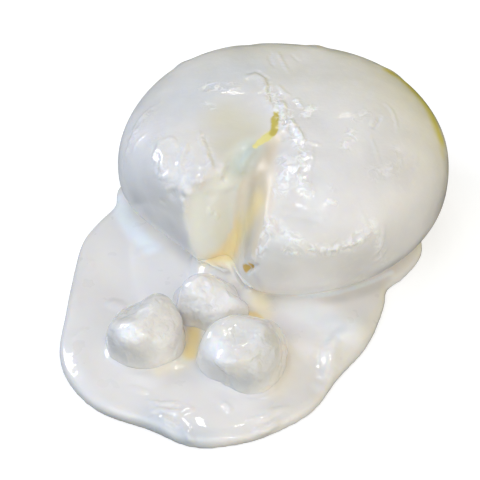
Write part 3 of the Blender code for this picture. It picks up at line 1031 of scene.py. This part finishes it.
def nugget_finish(name, colour, tints):
    """Springy curd: a little grainy, with fine pits, painted shade and painted highlights."""
    f = Finish(name)
    place = f.place()
    base = f.clouded(place, size=10, colour=colour, dimming=0.93)
    for tint in tints:
        base = f.blend(f.attribute(tint), base, shade(TINTS[tint]))
    wet = f.ramp(f.noise(place, size=8, detail=4), 0.38, 0.6)
    lumps = f.noise(place, size=4.5, detail=2, lean=0.8) * 0.9
    pits = f.noise(place, size=1.4, detail=3) * 0.25
    return f.surface(
        Base_Color=base,
        Roughness=0.4 - wet * 0.1,
        Normal=f.bump(lumps + pits),
        Coat_Weight=0.7 + wet * 0.3,
        Coat_Roughness=0.09,
        Coat_IOR=1.5,
        **MILKY,
    )


class MOZZARELLA_OT_pouch(bpy.types.Operator):
    """Makes the pouch's skin, with its folds, its torn cut, its stains and its painted shade, light and
    reflections.
    """

    bl_idname = "mozzarella.pouch"
    bl_label = "Pouch of Stretched Curd"

    def execute(self, context):
        settings = context.scene.mozzarella_skin
        stage = context.scene.mozzarella_stage
        piece = merged_copy("pouch_skin", frame["nodes"]["pouch"])
        recast(piece, settings.body_grid)
        smooth_faces(piece, sharpness=math.radians(25), margin=2, passes=int(settings.smoothing))
        melt(piece, MELTS.values(), stage)
        recast(piece, settings.grid)
        smooth(piece, passes=8)
        clay = Clay(piece, stage)
        for folds in (LEFT_LOBE_FOLDS, CROWN_FOLDS, RIGHT_LOBE_FOLDS, CUT_FOLDS):
            for fold in folds.values():
                clay.stroke(fold)
        for fold in BACK_FOLDS.values():
            clay.stroke(fold, clay.around)
        clay.done()
        smooth(piece, passes=1)
        thin_unseen(piece, stage)
        lay_tints(piece, POUCH_TINTINGS, stage)
        ruffle(piece, RUFFLES, settings.ruffles, stage)
        finish = curd_finish("wet_stretched_curd", settings.curd, tints_of(POUCH_TINTINGS))
        piece.data.materials.append(finish)
        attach(piece, "root")
        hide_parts("pouch")
        return {"FINISHED"}


class MOZZARELLA_OT_cream(bpy.types.Operator):
    """Makes the cream, which lies round the pouch and the nuggets and climbs a little way up them."""

    bl_idname = "mozzarella.cream"
    bl_label = "Spilled Cream"

    def execute(self, context):
        settings = context.scene.mozzarella_cream
        stage = context.scene.mozzarella_stage
        piece = merged_copy("cream_pool", frame["nodes"]["cream"])
        skin = bpy.data.objects["pouch_skin"]
        sides = [(POUCH_AXIS + Vector(place) * MM, facing) for place, facing in CUT_SIDES]
        feet = [
            coated_foot(skin, settings.pouch_coat, settings.pouch_climb),
            coated_foot(skin, settings.pouch_coat, settings.cut_climb, sides),
        ]
        for node in NUGGET_FOLDS:
            feet.append(coated_foot(frame["nodes"][node], settings.nugget_coat, settings.nugget_climb))
        feet += [heap(*lump) for lump in CREAM_HEAPS.values()]
        bpy.ops.object.select_all(action="DESELECT")
        for one in (piece, *feet):
            one.select_set(True)
        bpy.context.view_layer.objects.active = piece
        bpy.ops.object.join()
        recast(piece, settings.grid)
        smooth(piece, passes=20)
        clay = Clay(piece, stage)
        for fold in CREAM_FOLDS.values():
            clay.stroke(fold)
        clay.done()
        lay_tints(piece, CREAM_TINTINGS, stage)
        piece.data.materials.append(cream_finish("thick_cream", settings.cream, tints_of(CREAM_TINTINGS)))
        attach(piece, "root")
        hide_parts("cream")
        return {"FINISHED"}


class MOZZARELLA_OT_nuggets(bpy.types.Operator):
    """Makes the three nuggets, lumpy and creased."""

    bl_idname = "mozzarella.nuggets"
    bl_label = "Nuggets of Curd"

    def execute(self, context):
        settings = context.scene.mozzarella_nugget
        stage = context.scene.mozzarella_stage
        lumps = bpy.data.textures.new("lumps", "CLOUDS")
        lumps.noise_scale = LUMP_SIZE
        lumps.noise_depth = 2
        # the nuggets' tints are painted shade and painted highlights
        finish = nugget_finish("springy_curd", settings.curd, ("shade", "milk"))
        for node, folds in NUGGET_FOLDS.items():
            piece = merged_copy(node + "_curd", frame["nodes"][node])
            recast(piece, settings.grid)
            smooth(piece, passes=36)
            finish_with(piece, "DISPLACE", texture=lumps, texture_coords="LOCAL", strength=settings.lumps)
            clay = Clay(piece, stage)
            for fold in folds.values():
                clay.stroke(fold)
            clay.done()
            lay_tints(piece, NUGGET_TINTINGS[node], stage)
            piece.data.materials.append(finish)
            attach(piece, "root")
            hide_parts(node)
        return {"FINISHED"}


def toward_sky(elevation, bearing):
    """The direction with an elevation and a bearing in degrees."""
    rise = math.radians(elevation)
    turn = math.radians(bearing)
    return Vector((math.cos(rise) * math.cos(turn), math.cos(rise) * math.sin(turn), math.sin(rise)))


def room_light(world, strength):
    """Lights the world with the room's glows."""
    sky = Nodes(world)
    toward = sky.node("ShaderNodeTexCoord", {}, {}, "Generated")
    total = None
    for glow in ROOM_GLOWS.values():
        middle = toward_sky(glow.elevation, glow.bearing)
        sockets = {0: toward, 1: middle}
        facing = sky.node("ShaderNodeVectorMath", {"operation": "DOT_PRODUCT"}, sockets, "Value")
        glowing = facing.maths("MAXIMUM", facing, 0.0) ** GLOW_TIGHTNESS * strength
        light = sky.node("ShaderNodeBackground", {}, {"Color": shade(glow.colour), "Strength": glowing})
        total = sky.node("ShaderNodeAddShader", {}, {0: total, 1: light}) if total else light
    sky.end("ShaderNodeOutputWorld", total)


def softbox(name, aim, lamp):
    """A rectangular light a metre away from what it shines at."""
    data = bpy.data.lights.new(name, "AREA")
    data.shape = "RECTANGLE"
    data.size = lamp.size[0]
    data.size_y = lamp.size[1]
    data.energy = lamp.power
    data.color = lamp.colour
    light = bpy.data.objects.new(name, data)
    bpy.context.scene.collection.objects.link(light)
    away = toward_sky(lamp.elevation, lamp.bearing)
    light.location = aim + away
    light.rotation_mode = "QUATERNION"
    light.rotation_quaternion = (-away).to_track_quat("-Z", "Y")


class MOZZARELLA_OT_stage(bpy.types.Operator):
    """Makes the pale floor, the soft lights and the camera."""

    bl_idname = "mozzarella.stage"
    bl_label = "Floor, Lights and Camera"

    def execute(self, context):
        settings = context.scene.mozzarella_stage
        scene = context.scene
        scene.view_settings.view_transform = "Standard"
        scene.view_settings.look = "None"
        bpy.ops.object.select_all(action="DESELECT")
        bpy.ops.mesh.primitive_plane_add(size=FLOOR_SIZE, location=(0, 0, -FLOOR_DROP))
        floor = context.object
        floor.name = "floor"
        f = Finish("pale_floor")
        floor.data.materials.append(
            f.surface(
                Base_Color=shade(settings.floor),
                Roughness=0.9,
                Specular_IOR_Level=0.0,
                Emission_Color=(1.0, 1.0, 1.0, 1.0),
                Emission_Strength=settings.floor_glow,
            )
        )
        floor.visible_diffuse = False
        floor.visible_glossy = False
        floor.visible_transmission = False
        floor.visible_volume_scatter = False
        scene.world = bpy.data.worlds.new("room_light")
        room_light(scene.world, settings.room)
        for name, lamp in LAMPS.items():
            softbox(name, POUCH_AXIS + AIM_FROM_AXIS, lamp)
        eye, forward, _, _ = view_basis(settings)
        camera = bpy.data.objects.new("camera", bpy.data.cameras.new("camera"))
        scene.collection.objects.link(camera)
        camera.data.sensor_width = FILM_WIDTH
        camera.data.lens = FILM_WIDTH * settings.distance / (VIEW_SIDE * VIEW_SCALE)
        camera.data.clip_start = 0.01
        camera.location = eye
        camera.rotation_mode = "QUATERNION"
        camera.rotation_quaternion = forward.to_track_quat("-Z", "Y")
        scene.camera = camera
        return {"FINISHED"}


class MOZZARELLA_PT_panel(bpy.types.Panel):
    """The sidebar panel that makes the mozzarella piece by piece."""

    bl_idname = "MOZZARELLA_PT_panel"
    bl_label = "Opened Stuffed Mozzarella"
    bl_space_type = "VIEW_3D"
    bl_region_type = "UI"
    bl_category = "Mozzarella"

    def draw(self, context):
        for name, (_, maker) in MAKERS.items():
            settings = getattr(context.scene, name)
            box = self.layout.box()
            for setting in settings.__annotations__:
                box.prop(settings, setting)
            box.operator(maker.bl_idname)


MAKERS = {
    "mozzarella_skin": (MozzarellaSkinSettings, MOZZARELLA_OT_pouch),
    "mozzarella_cream": (MozzarellaCreamSettings, MOZZARELLA_OT_cream),
    "mozzarella_nugget": (MozzarellaNuggetSettings, MOZZARELLA_OT_nuggets),
    "mozzarella_stage": (MozzarellaStageSettings, MOZZARELLA_OT_stage),
}
CLASSES = (*(cls for pair in MAKERS.values() for cls in pair), MOZZARELLA_PT_panel)


def register():
    for cls in CLASSES:
        bpy.utils.register_class(cls)
    for name, (group, _) in MAKERS.items():
        setattr(bpy.types.Scene, name, PointerProperty(type=group))


def unregister():
    for name in MAKERS:
        delattr(bpy.types.Scene, name)
    for cls in reversed(CLASSES):
        bpy.utils.unregister_class(cls)


def main():
    register()
    bpy.ops.mozzarella.pouch()
    bpy.ops.mozzarella.cream()
    bpy.ops.mozzarella.nuggets()
    bpy.ops.mozzarella.stage()


if __name__ == "__main__":
    main()
